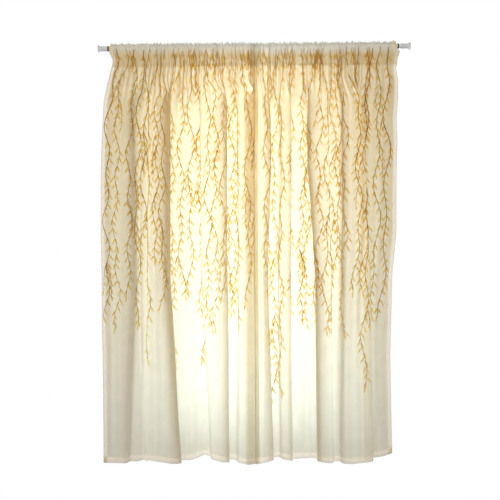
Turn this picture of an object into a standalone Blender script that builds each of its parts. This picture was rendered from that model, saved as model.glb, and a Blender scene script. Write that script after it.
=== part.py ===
"""A pair of sheer curtains gathered on a spring tension rod.

Metres, +Z up. The origin is the centre of the rod's left end face, +X runs along the rod and -Y
faces the room. Each panel is one cut length of voile: its rod pocket, ruffled heading, side hems
and bottom hem are turned from its own cloth.
"""

from collections import namedtuple

import bmesh
import bpy
import numpy as np

# Rod
ROD_LENGTH = 1.480
OUTER_TUBE_RADIUS = 0.0095
INNER_TUBE_RADIUS = 0.0080
TUBE_WALL = 0.0010
OUTER_TUBE_END = 0.740
TUBE_OVERLAP = 0.100
GAP = 0.0003

# End caps and collars
FLANGE_RADIUS = 0.0170
FLANGE_THICKNESS = 0.0030
FLARE_MIDDLE = 0.0054
SLEEVE_START = 0.0096
CAP_LENGTH = 0.044
CAP_RADIUS = 0.0115
CAP_FLOOR = 0.012
GROOVE_DEPTH = 0.0006
GROOVE_CENTRE = 0.024
GROOVE_WIDTH = 0.003
COLLAR_RADIUS = 0.0120
COLLAR_LENGTH = 0.0067
RIGHT_COLLAR_END = 1.427
TURNING_STEPS = 24

# Cloth
FLAT_WIDTH = 1.000
CLOTH_THICKNESS = 0.0012
HEM_THICKNESS = 0.0020
HEM_DEPTH = 0.030
SEAM_DROP = 0.085
SEAM_THICKNESS = 0.0030
POCKET_WALL = 0.0017
HEADING_THICKNESS = 0.0026
HEADING_BASE = 0.0055
HEADING_TOP = 0.0135
HEADING_UNEVENNESS = 0.0035
COLUMNS = 60
STEPS_PER_COLUMN = 8
GATHER_DEPTH = 0.0058
GATHER_UNEVENNESS = 0.30
GATHERS_END = 0.38
FOLDS_BEGIN = 0.085
FOLDS_FULL = 0.30
GATHER_LEFT_BELOW = 0.12
GATHER_TURN = np.radians(67)
CORNER_REACH = 0.050
STRENGTHS = (0.2, 1.6)
SHARPEST_BEND = 0.6

# How much the cloth is drawn up, by its distance from the panel's outer edge
FLATTER_FROM_OUTER = (0.02, 0.16, 0.26)
FLATTER_SHARE = (0.45, 0.60, 1.0)

# Heights of the body's rows, from the pocket's seam down to just above the hem
BODY_HEIGHTS = (-0.085, -0.11, -0.14, -0.175, -0.215, -0.26, -0.31, -0.38, -0.50, -0.70, -0.95, -1.25,
                -1.58, -1.88)

# The pocket's walls, from the seam up: height and how far each wall's outside stands off the
# rod's axis, for the outer tube. The thinner tube's pocket is smaller by the tubes' difference.
Wall = namedtuple("Wall", "height outside")
POCKET_WALLS = (
    Wall(height=-0.055, outside=0.0062),
    Wall(height=-0.028, outside=0.0108),
    Wall(height=-0.008, outside=0.0130),
    Wall(height=0.004, outside=0.0128),
)
POCKET_FLOOR = -0.080
CEILING_HALF_WIDTH = 0.0050
SHOULDER_RISE = 0.0019
SHOULDER_OUTSIDE = 0.0088

# Where each panel's edges hang at a height, along the rod
Edges = namedtuple("Edges", "height left_outer left_inner right_inner right_outer")
EDGES = (
    Edges(height=-1.970, left_outer=0.007, left_inner=0.731, right_inner=0.7340, right_outer=1.381),
    Edges(height=-1.500, left_outer=0.008, left_inner=0.732, right_inner=0.7350, right_outer=1.376),
    Edges(height=-1.300, left_outer=0.005, left_inner=0.733, right_inner=0.7360, right_outer=1.383),
    Edges(height=-1.100, left_outer=0.007, left_inner=0.733, right_inner=0.7360, right_outer=1.389),
    Edges(height=-0.900, left_outer=0.004, left_inner=0.734, right_inner=0.7370, right_outer=1.410),
    Edges(height=-0.600, left_outer=0.007, left_inner=0.735, right_inner=0.7380, right_outer=1.413),
    Edges(height=-0.450, left_outer=0.013, left_inner=0.736, right_inner=0.7390, right_outer=1.418),
    Edges(height=-0.350, left_outer=0.019, left_inner=0.737, right_inner=0.7405, right_outer=1.415),
    Edges(height=-0.250, left_outer=0.025, left_inner=0.737, right_inner=0.741, right_outer=1.421),
    Edges(height=-0.171, left_outer=0.041, left_inner=0.737, right_inner=0.742, right_outer=1.421),
    Edges(height=-0.133, left_outer=0.051, left_inner=0.737, right_inner=0.743, right_outer=1.417),
    Edges(height=-0.085, left_outer=0.062, left_inner=0.737, right_inner=0.743, right_outer=1.417),
)

# How far the outer corners are pulled along the rod at a height, beside the smooth edge
Corner = namedtuple("Corner", "height left right")
CORNERS = (
    Corner(height=-0.135, left=0.000, right=0.000),
    Corner(height=-0.105, left=0.000, right=-0.005),
    Corner(height=-0.085, left=0.002, right=0.001),
    Corner(height=-0.055, left=0.008, right=0.004),
    Corner(height=-0.028, left=-0.006, right=0.013),
    Corner(height=-0.008, left=-0.0085, right=-0.002),
    Corner(height=0.012, left=-0.0080, right=-0.003),
    Corner(height=0.025, left=0.005, right=-0.003),
)

# A fold turns the cloth from its front lobe to its back lobe, or back again. The three places are
# its middle along the rod at the heights below, turn is how far the cloth swings round in degrees
# and cloth is the length of cloth that it takes.
FOLD_HEIGHTS = (-1.97, -1.10, -0.575)
Fold = namedtuple("Fold", "hem middle upper turn cloth")
LEFT_FOLDS = (
    Fold(hem=0.122, middle=0.159, upper=0.159, turn=78, cloth=0.062),
    Fold(hem=0.203, middle=0.221, upper=0.231, turn=74, cloth=0.056),
    Fold(hem=0.365, middle=0.321, upper=0.326, turn=150, cloth=0.092),
    Fold(hem=0.517, middle=0.477, upper=0.478, turn=104, cloth=0.062),
    Fold(hem=0.593, middle=0.592, upper=0.594, turn=144, cloth=0.078),
    Fold(hem=0.642, middle=0.654, upper=0.656, turn=76, cloth=0.054),
)
RIGHT_FOLDS = (
    Fold(hem=0.802, middle=0.784, upper=0.805, turn=146, cloth=0.080),
    Fold(hem=0.850, middle=0.846, upper=0.862, turn=76, cloth=0.050),
    Fold(hem=0.897, middle=0.895, upper=0.905, turn=130, cloth=0.064),
    Fold(hem=1.030, middle=1.028, upper=0.996, turn=138, cloth=0.074),
    Fold(hem=1.096, middle=1.095, upper=1.088, turn=84, cloth=0.054),
    Fold(hem=1.138, middle=1.152, upper=1.154, turn=80, cloth=0.052),
    Fold(hem=1.269, middle=1.261, upper=1.240, turn=152, cloth=0.106),
)

# The left panel's inner edge curls back behind itself
CURL_TURN = np.radians(172)
CURL_CLOTH = 0.030
CURL_TAIL = 0.034

# How low the hem hangs along the rod
Hem = namedtuple("Hem", "along drop")
HEM = (
    Hem(along=0.060, drop=1.965),
    Hem(along=0.160, drop=1.967),
    Hem(along=0.225, drop=1.952),
    Hem(along=0.330, drop=1.967),
    Hem(along=0.420, drop=1.966),
    Hem(along=0.485, drop=1.939),
    Hem(along=0.570, drop=1.962),
    Hem(along=0.620, drop=1.962),
    Hem(along=0.690, drop=1.978),
    Hem(along=0.760, drop=1.969),
    Hem(along=0.815, drop=1.954),
    Hem(along=0.855, drop=1.954),
    Hem(along=0.920, drop=1.965),
    Hem(along=0.995, drop=1.958),
    Hem(along=1.065, drop=1.970),
    Hem(along=1.185, drop=1.975),
    Hem(along=1.300, drop=1.961),
    Hem(along=1.340, drop=1.955),
    Hem(along=1.381, drop=1.939),
)

Panel = namedtuple("Panel", "name folds first_side curled tube_radius outer inner phase")
PANELS = (
    Panel(name="panel_left", folds=LEFT_FOLDS, first_side=1, curled=True,
          tube_radius=OUTER_TUBE_RADIUS, outer="left_outer", inner="left_inner", phase=0.0),
    Panel(name="panel_right", folds=RIGHT_FOLDS, first_side=1, curled=False,
          tube_radius=INNER_TUBE_RADIUS, outer="right_outer", inner="right_inner", phase=1.7),
)


def smooth_step(value, low, high):
    """Rises from 0 at low to 1 at high."""
    share = np.clip((value - low) / (high - low), 0.0, 1.0)
    return share * share * (3.0 - 2.0 * share)


def at_height(rows, column, height):
    """Reads a table of rows with a height column, lowest row first."""
    return np.interp(height, [row.height for row in rows], [getattr(row, column) for row in rows])


def fold_progress(turn):
    """How far a fold's cloth gets along the rod, as a share of its length."""
    places = (np.arange(200) + 0.5) / 200
    return np.mean(np.cos(turn * np.sin(np.pi * places) ** 2))


def unevenness(number, phase):
    """A steady irregular value between about -1 and 1 for each gather."""
    return 0.6 * np.sin(2.1 * number + phase) + 0.4 * np.sin(0.73 * number + 1.0 + 2.0 * phase)


def gather_share(panel, along):
    """How much the cloth is drawn up at a place along its flat width."""
    from_outer = along if panel.outer == "left_outer" else FLAT_WIDTH - along
    return np.interp(from_outer, FLATTER_FROM_OUTER, FLATTER_SHARE)


def cloth_turns(panel, height, strength, along):
    """The cloth's direction at each length along its flat width, at one height."""
    drop = -height
    folded = smooth_step(drop, FOLDS_BEGIN, FOLDS_FULL)
    gathered = 1.0 - (1.0 - GATHER_LEFT_BELOW) * smooth_step(drop, SEAM_DROP, GATHERS_END)
    step = FLAT_WIDTH / COLUMNS
    number = np.floor(along / step)
    uneven = 1.0 + GATHER_UNEVENNESS * unevenness(number, panel.phase)
    gather_turn = strength * gathered * GATHER_TURN * gather_share(panel, along) * uneven
    turns = gather_turn * np.sin(np.pi * along / step)
    gather_progress = np.mean(np.cos(turns))

    left, _ = panel_edges(panel, height)
    cloth_used = 0.0
    rod_used = 0.0
    side = panel.first_side
    for fold in panel.folds:
        turn = np.radians(fold.turn) * folded * strength
        middle = np.interp(height, FOLD_HEIGHTS, (fold.hem, fold.middle, fold.upper)) - left
        progress = fold.cloth * fold_progress(turn)
        centre = (middle - rod_used - progress / 2) / gather_progress + cloth_used + fold.cloth / 2
        inside = np.clip((along - centre) / fold.cloth + 0.5, 0.0, 1.0)
        turns = turns + side * turn * np.sin(np.pi * inside) ** 2
        cloth_used += fold.cloth
        rod_used += progress
        side = -side
    if panel.curled:
        start = FLAT_WIDTH - CURL_TAIL - CURL_CLOTH
        turns = turns + CURL_TURN * folded * smooth_step(along, start, start + CURL_CLOTH)
    return turns


def panel_edges(panel, height):
    """The panel's left and right edge along the rod at a height."""
    edges = sorted((at_height(EDGES, panel.outer, height), at_height(EDGES, panel.inner, height)))
    return edges[0], edges[1]


def walk(turns, step):
    """Follows the directions from one end of the cloth to the other."""
    middle_turns = (turns[1:] + turns[:-1]) / 2
    across = np.concatenate(([0.0], np.cumsum(np.cos(middle_turns) * step)))
    deep = np.concatenate(([0.0], np.cumsum(np.sin(middle_turns) * step)))
    return across, deep


def section(panel, height):
    """The cloth's line across the panel at a height: along the rod and in depth, a point a column."""
    fine = COLUMNS * STEPS_PER_COLUMN
    along = np.linspace(0.0, FLAT_WIDTH, fine + 1)
    left, right = panel_edges(panel, height)
    weak, strong = STRENGTHS
    for _ in range(30):
        strength = (weak + strong) / 2
        across, deep = walk(cloth_turns(panel, height, strength, along), FLAT_WIDTH / fine)
        if np.ptp(across) > right - left:
            weak = strength
        else:
            strong = strength
    across = left + across - across.min()
    slope = np.polyfit(across, deep, 1)
    deep = deep - np.polyval(slope, across)
    every = slice(None, None, STEPS_PER_COLUMN)
    return across[every], deep[every]


def gather_line(panel):
    """How far each column stands in front of or behind the rod's axis, where the cloth is gathered."""
    number = np.arange(COLUMNS + 1)
    side = np.where(number % 2 == 0, -1.0, 1.0)
    uneven = 1.0 + GATHER_UNEVENNESS * unevenness(number, panel.phase + 0.9)
    return side * GATHER_DEPTH * gather_share(panel, number * FLAT_WIDTH / COLUMNS) * uneven


def pulled(panel, across, height):
    """Moves the cloth near the panel's outer corner as its pocket pulls it."""
    edge = across[0] if panel.outer == "left_outer" else across[-1]
    pull = at_height(CORNERS, panel.outer.split("_")[0], height)
    return across + pull * np.exp(-np.abs(across - edge) / CORNER_REACH)


def both_faces(across, deep, thickness):
    """The front and back line of cloth whose middle line is given."""
    steps_x = np.diff(across)
    steps_y = np.diff(deep)
    lengths = np.hypot(steps_x, steps_y)
    unit_x = np.concatenate(([steps_x[0] / lengths[0]], steps_x / lengths))
    unit_y = np.concatenate(([steps_y[0] / lengths[0]], steps_y / lengths))
    next_x = np.append(unit_x[1:], unit_x[-1])
    next_y = np.append(unit_y[1:], unit_y[-1])
    sum_x = unit_x + next_x
    sum_y = unit_y + next_y
    # Half the sum's length is the cosine of half the bend, which widens the corner's offset
    cosine = np.maximum(np.hypot(sum_x, sum_y) / 2, SHARPEST_BEND)
    offset = thickness / 2 / cosine / np.hypot(sum_x, sum_y)
    front = np.stack((across + sum_y * offset, deep - sum_x * offset))
    back = np.stack((across - sum_y * offset, deep + sum_x * offset))
    return front, back


def row(line, height):
    """Points of one row of the loft: a line across the panel and its height."""
    return np.column_stack((line[0], line[1], np.broadcast_to(height, line[0].shape)))


def body_rows(panel):
    """The front and back rows of the hanging cloth, from the hem up to the pocket's seam."""
    gathers = gather_line(panel)
    number = np.arange(COLUMNS + 1)
    at_side = (number <= 1) | (number >= COLUMNS - 1)
    side_thickness = np.where(at_side, HEM_THICKNESS, CLOTH_THICKNESS)
    across, deep = section(panel, EDGES[0].height)
    hem_height = -np.interp(across, [hem.along for hem in HEM], [hem.drop for hem in HEM])
    front_rows = []
    back_rows = []
    for height in (hem_height, hem_height + HEM_DEPTH):
        front, back = both_faces(across, deep, HEM_THICKNESS)
        front_rows.append(row(front, height))
        back_rows.append(row(back, height))
    for nominal in reversed(BODY_HEIGHTS):
        across, deep = section(panel, nominal)
        settled = smooth_step(-nominal, SEAM_DROP, FOLDS_FULL)
        deep = settled * deep + (1.0 - settled) * gathers
        thickness = SEAM_THICKNESS if nominal == BODY_HEIGHTS[0] else side_thickness
        front, back = both_faces(pulled(panel, across, nominal), deep, thickness)
        share = (nominal + SEAM_DROP) / (EDGES[0].height + SEAM_DROP)
        height = nominal + share * (hem_height - EDGES[0].height)
        front_rows.append(row(front, height))
        back_rows.append(row(back, height))
    return front_rows, back_rows


def pocket_rows(panel):
    """The pocket's outside and inside rows, front and back, from just above the seam to its top."""
    across, _ = section(panel, -SEAM_DROP)
    gathers = gather_line(panel)
    front_bulge = np.maximum(-gathers, 0.0)
    back_bulge = np.maximum(gathers, 0.0)
    smaller = OUTER_TUBE_RADIUS - panel.tube_radius
    rows = {"front_out": [], "back_out": [], "front_in": [], "back_in": []}
    for wall in POCKET_WALLS:
        line = pulled(panel, across, wall.height)
        outside = wall.outside - smaller
        inside = outside - POCKET_WALL
        rows["front_out"].append(row((line, -outside - front_bulge), wall.height))
        rows["front_in"].append(row((line, -inside - front_bulge), wall.height))
        rows["back_out"].append(row((line, outside + back_bulge), wall.height))
        rows["back_in"].append(row((line, inside + back_bulge), wall.height))
    ceiling = panel.tube_radius + GAP
    line = pulled(panel, across, ceiling)
    shoulder = SHOULDER_OUTSIDE - smaller
    top = ceiling + SHOULDER_RISE
    rows["front_out"].append(row((line, -shoulder - front_bulge / 2), top))
    rows["back_out"].append(row((line, shoulder + back_bulge / 2), top))
    rows["front_in"].append(row((line, np.full_like(line, -CEILING_HALF_WIDTH)), ceiling))
    rows["back_in"].append(row((line, np.full_like(line, CEILING_HALF_WIDTH)), ceiling))
    floor = row((pulled(panel, across, POCKET_FLOOR), gathers), POCKET_FLOOR)
    return rows, floor


def heading_rows(panel):
    """The ruffled heading, two layers of cloth pressed together above the pocket."""
    across, _ = section(panel, -SEAM_DROP)
    gathers = gather_line(panel)
    number = np.arange(COLUMNS + 1)
    base = panel.tube_radius + HEADING_BASE
    tops = panel.tube_radius + HEADING_TOP + HEADING_UNEVENNESS * unevenness(number * 1.7, panel.phase)
    half = HEADING_THICKNESS / 2
    front_rows = []
    back_rows = []
    for height, swing in ((base, 0.5), (tops, 1.0)):
        line = pulled(panel, across, float(np.mean(height)))
        front_rows.append(row((line, swing * gathers - half), height))
        back_rows.append(row((line, swing * gathers + half), height))
    return front_rows, back_rows


def add_skin(faces, lower, upper, climbs):
    """Triangles between two rows of vertex numbers, all split from low left to high right."""
    for c in range(COLUMNS):
        a, b = lower[c], lower[c + 1]
        d, e = upper[c], upper[c + 1]
        if climbs:
            faces += [(a, b, e), (a, e, d)]
        else:
            faces += [(a, b, d), (b, e, d)]


def add_end(faces, polygons, column, at_right):
    """Closes one end of the loft with the polygons given as rows, for that column."""
    for polygon in polygons:
        corners = [rows[column] for rows in polygon]
        if not at_right:
            corners.reverse()
        faces += [(corners[0], corners[i], corners[i + 1]) for i in range(1, len(corners) - 1)]


def build_panel(panel, collection, material):
    """One panel as a closed loft: its outside, the pocket's inside and both side edges."""
    body_front, body_back = body_rows(panel)
    pocket, floor = pocket_rows(panel)
    heading_front, heading_back = heading_rows(panel)
    points = []

    def numbered(rows):
        """Stores the rows' points and returns their vertex numbers."""
        numbers = []
        for one in rows:
            numbers.append(list(range(len(points), len(points) + COLUMNS + 1)))
            points.extend(one.tolist())
        return numbers

    front = numbered(body_front + pocket["front_out"] + heading_front)
    back = numbered(body_back + pocket["back_out"] + heading_back)
    front_in = numbered([floor] + pocket["front_in"])
    back_in = [front_in[0]] + numbered(pocket["back_in"])

    faces = []
    add_skin(faces, back[0], front[0], False)
    for low, high in zip(front, front[1:]):
        add_skin(faces, low, high, True)
    add_skin(faces, front[-1], back[-1], True)
    for low, high in zip(back, back[1:]):
        add_skin(faces, high, low, False)
    for low, high in zip(front_in, front_in[1:]):
        add_skin(faces, high, low, False)
    add_skin(faces, back_in[-1], front_in[-1], True)
    for low, high in zip(back_in, back_in[1:]):
        add_skin(faces, low, high, True)

    seam = len(body_front) - 1
    top = seam + len(pocket["front_out"])
    ends = []
    for i in range(seam):
        ends.append((front[i], back[i], back[i + 1], front[i + 1]))
    ends.append((front[seam], back[seam], front_in[0]))
    for i in range(top - seam):
        lower_front = front_in[i]
        lower_back = back_in[i]
        ends.append((front[seam + i], lower_front, front_in[i + 1], front[seam + i + 1]))
        ends.append((lower_back, back[seam + i], back[seam + i + 1], back_in[i + 1]))
    ends.append((front[top], front_in[-1], front[top + 1]))
    ends.append((front_in[-1], back_in[-1], back[top + 1], front[top + 1]))
    ends.append((back_in[-1], back[top], back[top + 1]))
    ends.append((front[top + 1], back[top + 1], back[top + 2], front[top + 2]))
    add_end(faces, ends, 0, False)
    add_end(faces, ends, COLUMNS, True)

    mesh = bpy.data.meshes.new(panel.name)
    mesh.from_pydata(points, [], faces)
    mesh.materials.append(material)
    mesh.shade_smooth()
    mesh.set_sharp_from_angle(angle=np.radians(50))
    piece = bpy.data.objects.new(panel.name, mesh)
    collection.objects.link(piece)
    return piece


def build_turned(name, profile, closed, place, faces_right, collection, material):
    """A piece turned about the rod's axis from (radius, distance from the wall) points."""
    sketch = bmesh.new()
    corners = [sketch.verts.new((radius, 0.0, distance)) for radius, distance in profile]
    for first, second in zip(corners, corners[1:]):
        sketch.edges.new((first, second))
    if closed:
        sketch.edges.new((corners[-1], corners[0]))
    mesh = bpy.data.meshes.new(name)
    sketch.to_mesh(mesh)
    sketch.free()
    mesh.materials.append(material)
    piece = bpy.data.objects.new(name, mesh)
    piece.location = (place, 0.0, 0.0)
    piece.rotation_euler = (0.0, np.pi / 2 if faces_right else -np.pi / 2, 0.0)
    collection.objects.link(piece)
    screw = piece.modifiers.new("Turning", "SCREW")
    screw.steps = TURNING_STEPS
    screw.render_steps = TURNING_STEPS
    screw.use_merge_vertices = True
    screw.merge_threshold = 0.00001
    screw.use_smooth_shade = True
    return piece


def tube_profile(outside, inside, length):
    """A ring's section, down its outer side and up its inner side."""
    return [(outside, length), (outside, 0.0), (inside, 0.0), (inside, length)]


def cap_profile(tube_radius):
    """An end cap's section: its socket for the tube, grooved sleeve and flared flange."""
    socket = tube_radius + GAP
    groove = GROOVE_WIDTH / 2
    return [
        (0.0, CAP_FLOOR),
        (socket, CAP_FLOOR),
        (socket, CAP_LENGTH),
        (CAP_RADIUS, CAP_LENGTH),
        (CAP_RADIUS, GROOVE_CENTRE + groove),
        (CAP_RADIUS - GROOVE_DEPTH, GROOVE_CENTRE + groove / 2),
        (CAP_RADIUS - GROOVE_DEPTH, GROOVE_CENTRE - groove / 2),
        (CAP_RADIUS, GROOVE_CENTRE - groove),
        (CAP_RADIUS, SLEEVE_START),
        ((CAP_RADIUS + FLANGE_RADIUS) / 2, FLARE_MIDDLE),
        (FLANGE_RADIUS, FLANGE_THICKNESS),
        (FLANGE_RADIUS, 0.0),
        (0.0, 0.0),
    ]


def build_rod(collection):
    """The two telescoping tubes, their end caps and the collars beside the caps."""
    steel = finish("white painted steel", (0.82, 0.82, 0.80), 0.35, 0.0)
    plastic = finish("white plastic", (0.72, 0.72, 0.71), 0.45, 0.0)
    rubber = finish("dark rubber", (0.05, 0.05, 0.05), 0.70, 0.0)
    start = CAP_FLOOR + GAP
    inner_start = OUTER_TUBE_END - TUBE_OVERLAP
    tubes = (
        ("rod_outer_tube", OUTER_TUBE_RADIUS, start, OUTER_TUBE_END),
        ("rod_inner_tube", INNER_TUBE_RADIUS, inner_start, ROD_LENGTH - start),
    )
    for name, radius, low, high in tubes:
        profile = tube_profile(radius, radius - TUBE_WALL, high - low)
        build_turned(name, profile, True, low, True, collection, steel)
    caps = (
        ("end_cap_left", OUTER_TUBE_RADIUS, 0.0, True),
        ("end_cap_right", INNER_TUBE_RADIUS, ROD_LENGTH, False),
    )
    for name, radius, place, faces_right in caps:
        build_turned(name, cap_profile(radius), False, place, faces_right, collection, plastic)
    collars = (
        ("collar_left", OUTER_TUBE_RADIUS, CAP_LENGTH + GAP),
        ("collar_right", INNER_TUBE_RADIUS, RIGHT_COLLAR_END - COLLAR_LENGTH),
    )
    for name, radius, place in collars:
        profile = tube_profile(COLLAR_RADIUS, radius + GAP, COLLAR_LENGTH)
        build_turned(name, profile, True, place, True, collection, rubber)


def finish(name, colour, roughness, metallic):
    """A plain material with one Principled shader."""
    material = bpy.data.materials.new(name)
    material.use_nodes = True
    shader = material.node_tree.nodes["Principled BSDF"]
    shader.inputs["Base Color"].default_value = (*colour, 1.0)
    shader.inputs["Roughness"].default_value = roughness
    shader.inputs["Metallic"].default_value = metallic
    return material


def main():
    for old in list(bpy.data.objects):
        bpy.data.objects.remove(old)
    collection = bpy.data.collections.new("sheer_curtains_on_rod")
    bpy.context.scene.collection.children.link(collection)
    build_rod(collection)
    voile = finish("cream voile", (0.85, 0.77, 0.56), 0.85, 0.0)
    for panel in PANELS:
        build_panel(panel, collection, voile)


main()
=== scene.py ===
"""Dresses a pair of sheer curtains on a spring tension rod: voile, leaf print, sewing and rod."""

import math
from collections import namedtuple
from functools import lru_cache

import bmesh
import bpy
import numpy as np
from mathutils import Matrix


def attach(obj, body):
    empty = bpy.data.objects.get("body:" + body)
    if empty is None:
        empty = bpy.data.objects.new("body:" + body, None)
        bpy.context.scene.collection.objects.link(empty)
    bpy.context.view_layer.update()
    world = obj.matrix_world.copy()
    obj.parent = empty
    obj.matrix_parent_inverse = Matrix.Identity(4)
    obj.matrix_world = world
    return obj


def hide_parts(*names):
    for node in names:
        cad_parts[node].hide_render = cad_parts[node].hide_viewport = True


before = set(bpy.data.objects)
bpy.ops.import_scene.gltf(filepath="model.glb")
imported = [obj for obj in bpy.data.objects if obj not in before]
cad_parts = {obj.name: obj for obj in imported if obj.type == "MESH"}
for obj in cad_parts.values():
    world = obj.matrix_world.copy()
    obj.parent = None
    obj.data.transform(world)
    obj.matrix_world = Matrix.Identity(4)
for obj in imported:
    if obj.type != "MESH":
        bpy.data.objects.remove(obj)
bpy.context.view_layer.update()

BODY = "root"


def table(fields, *rows):
    """Rows of values under the names of their fields."""
    row_kind = namedtuple("Row", fields)
    return tuple(row_kind(*row) for row in rows)


# Rod
ROD_LENGTH = 1.480
OUTER_TUBE_RADIUS = 0.0095
INNER_TUBE_RADIUS = 0.0080
TUBE_THICKNESS = 0.0010
TUBE_RIM = 0.0004
OUTER_TUBE_END = 0.740
TUBE_OVERLAP = 0.100
CLEARANCE = 0.0003
COLLAR_RADIUS = 0.0120
COLLAR_LENGTH = 0.0067
COLLAR_RIM = 0.0008
RIGHT_COLLAR_END = 1.427
TURNING_STEPS = 64
SHARP_EDGE = math.radians(35)
ON_AXIS = 0.00001
CORNER_SHARE = 0.4

# End cap
FLANGE_RADIUS = 0.0170
FLANGE_THICKNESS = 0.0030
FLANGE_STEP = 0.0008
CAP_LENGTH = 0.044
CAP_RADIUS = 0.0115
CAP_RIM = 0.0006
CAP_NECK = 0.0105
CAP_FLOOR = 0.012
FLARE_STEPS = 8
FLARE_CURVE = 2.2
GROOVE_CENTRE = 0.024
GROOVE_DEPTH = 0.0006
GROOVE_MOUTH = 0.0015
GROOVE_BOTTOM = 0.0009

# The flange's edge from its soft face back: how far from the end and how far drawn in
FLANGE_EDGE = table(
    "along inset",
    (0.0, 0.0006),
    (0.0006, 0.0),
    (0.0021, 0.0),
    (0.0024, 0.0005),
    (0.0027, 0.0001),
)

# Cloth as it was cut and hung
FLAT_WIDTH = 1.000
SEAM_DROP = 0.085
HEM_TURN = 0.030
SIDE_TURN = 0.018
FOLDS_BEGIN = 0.085
FOLDS_FULL = 0.30
SETTLING_BEGINS = 0.13
SETTLING_ENDS = 0.28
FOLD_STRENGTHS = (0.2, 1.6)
FITTING_STEPS = 18
FOLD_SAMPLES = 200
CORNER_REACH = 0.050

# Gathers, counted by half waves; they lie flatter near the panel's outer edge
HALF_GATHERS = 60
GATHER_DEPTH = 0.0058
GATHER_UNEVENNESS = 0.45
GATHER_WARP = 0.75
GATHER_TURN = np.radians(67)
GATHERS_END = 0.38
GATHER_LEFT_BELOW = 0.12
DEPTH_PHASE = 0.9
FLATTER_FROM_OUTER = (0.02, 0.16, 0.26)
FLATTER_SHARE = (0.45, 0.60, 1.0)

# Irregular waves that make the gathers uneven, and that space them unevenly
UNEVEN_WAVES = table(
    "share pace start phases",
    (0.6, 2.1, 0.0, 1.0),
    (0.4, 0.73, 1.0, 2.0),
)
SPACING_WAVES = table(
    "share pace start phases",
    (1.0, 0.37, 0.0, 1.0),
    (0.7, 0.83, 0.5, 2.6),
)

# The drawn cloth
VOILE_THICKNESS = 0.00035
LAYER_GAP = 0.0007
GRID_COLUMNS = 226
SIDE_COLUMNS = 4
SIDE_BEND = 0.08
SECTION_STEPS = 8 * GRID_COLUMNS
UPPER_ROWS = 58
LOWER_ROWS = 62
UPPER_END = 0.62
SEAM_CLEAR = 0.001
FINE_ALONG = np.linspace(0.0, FLAT_WIDTH, SECTION_STEPS + 1)
GRID_ALONG = np.linspace(0.0, FLAT_WIDTH, GRID_COLUMNS + 1)
GRID_PICK = slice(None, None, SECTION_STEPS // GRID_COLUMNS)

# The turned-up hem's rows: how far above the hem's edge, and how many layer gaps behind the front
HEM_ROWS = table(
    "lift gaps",
    (HEM_TURN, 1.0),
    (HEM_TURN / 2, 1.0),
    (0.0025, 1.0),
    (0.0, 0.5),
)

# Where each panel's edges hang at a height, along the rod
EDGES = table(
    "height left_outer left_inner right_inner right_outer",
    (-1.970, 0.007, 0.7310, 0.7285, 1.381),
    (-1.500, 0.008, 0.7320, 0.7290, 1.376),
    (-1.300, 0.005, 0.7330, 0.7300, 1.383),
    (-1.100, 0.007, 0.7330, 0.7300, 1.389),
    (-0.900, 0.004, 0.7340, 0.7310, 1.410),
    (-0.600, 0.007, 0.7350, 0.7325, 1.413),
    (-0.450, 0.013, 0.7360, 0.7350, 1.418),
    (-0.350, 0.019, 0.7375, 0.7370, 1.415),
    (-0.250, 0.025, 0.7380, 0.7383, 1.421),
    (-0.171, 0.041, 0.7385, 0.7388, 1.421),
    (-0.133, 0.051, 0.7390, 0.7393, 1.417),
    (-0.085, 0.062, 0.7395, 0.7398, 1.417),
)
HEM_LINE = -EDGES[0].height

# How far the outer corners are pulled along the rod at a height, beside the smooth edge
CORNERS = table(
    "height left right",
    (-0.135, 0.000, 0.000),
    (-0.105, 0.000, -0.005),
    (-0.085, 0.002, 0.001),
    (-0.055, 0.008, 0.004),
    (-0.028, -0.006, 0.013),
    (-0.008, -0.0085, -0.002),
    (0.012, -0.0080, -0.003),
    (0.025, 0.005, -0.003),
)

# A fold swings the cloth from its front lobe to its back lobe, or back again
FOLD_HEIGHTS = (-1.97, -1.10, -0.575)
LEFT_FOLDS = table(
    "hem middle upper turn cloth",
    (0.122, 0.159, 0.159, 78, 0.062),
    (0.203, 0.221, 0.231, 74, 0.056),
    (0.365, 0.321, 0.326, 150, 0.092),
    (0.517, 0.477, 0.478, 104, 0.062),
    (0.593, 0.592, 0.594, 144, 0.078),
    (0.642, 0.654, 0.656, 76, 0.054),
)
RIGHT_FOLDS = table(
    "hem middle upper turn cloth",
    (0.802, 0.784, 0.805, 146, 0.080),
    (0.850, 0.846, 0.862, 76, 0.050),
    (0.897, 0.895, 0.905, 130, 0.064),
    (1.030, 1.028, 0.996, 138, 0.074),
    (1.096, 1.095, 1.088, 84, 0.054),
    (1.138, 1.152, 1.154, 80, 0.052),
    (1.269, 1.261, 1.240, 152, 0.106),
)

# The left panel's inner edge curls back behind itself
CURL_TURN = np.radians(172)
CURL_CLOTH = 0.030
CURL_TAIL = 0.034

# How low the hem hangs along the rod
HEM = table(
    "along drop",
    (0.060, 1.965), (0.160, 1.967), (0.225, 1.952), (0.330, 1.967), (0.420, 1.966),
    (0.485, 1.939), (0.570, 1.962), (0.620, 1.962), (0.690, 1.978), (0.760, 1.969),
    (0.815, 1.954), (0.855, 1.954), (0.920, 1.965), (0.995, 1.958), (1.065, 1.970),
    (1.185, 1.975), (1.300, 1.961), (1.340, 1.955), (1.381, 1.939),
)

# The pocket's middle line round the rod, from the seam up the front to the heading's stitches:
# height and stand-off from the rod's axis, for the outer tube
POCKET_LINE = table(
    "height outside",
    (-0.085, 0.0009),
    (-0.055, 0.0054),
    (-0.028, 0.0100),
    (-0.008, 0.0121),
    (0.004, 0.0119),
    (0.0105, 0.0088),
    (0.0128, 0.0034),
    (0.0148, 0.0013),
)
POCKET_TOP = POCKET_LINE[-1]
POCKET_ROUND_FROM = -0.010
POCKET_ROWS_BELOW = 9
POCKET_ROWS_ROUND = 7
BULGE_SOFTNESS = 0.0015

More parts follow.
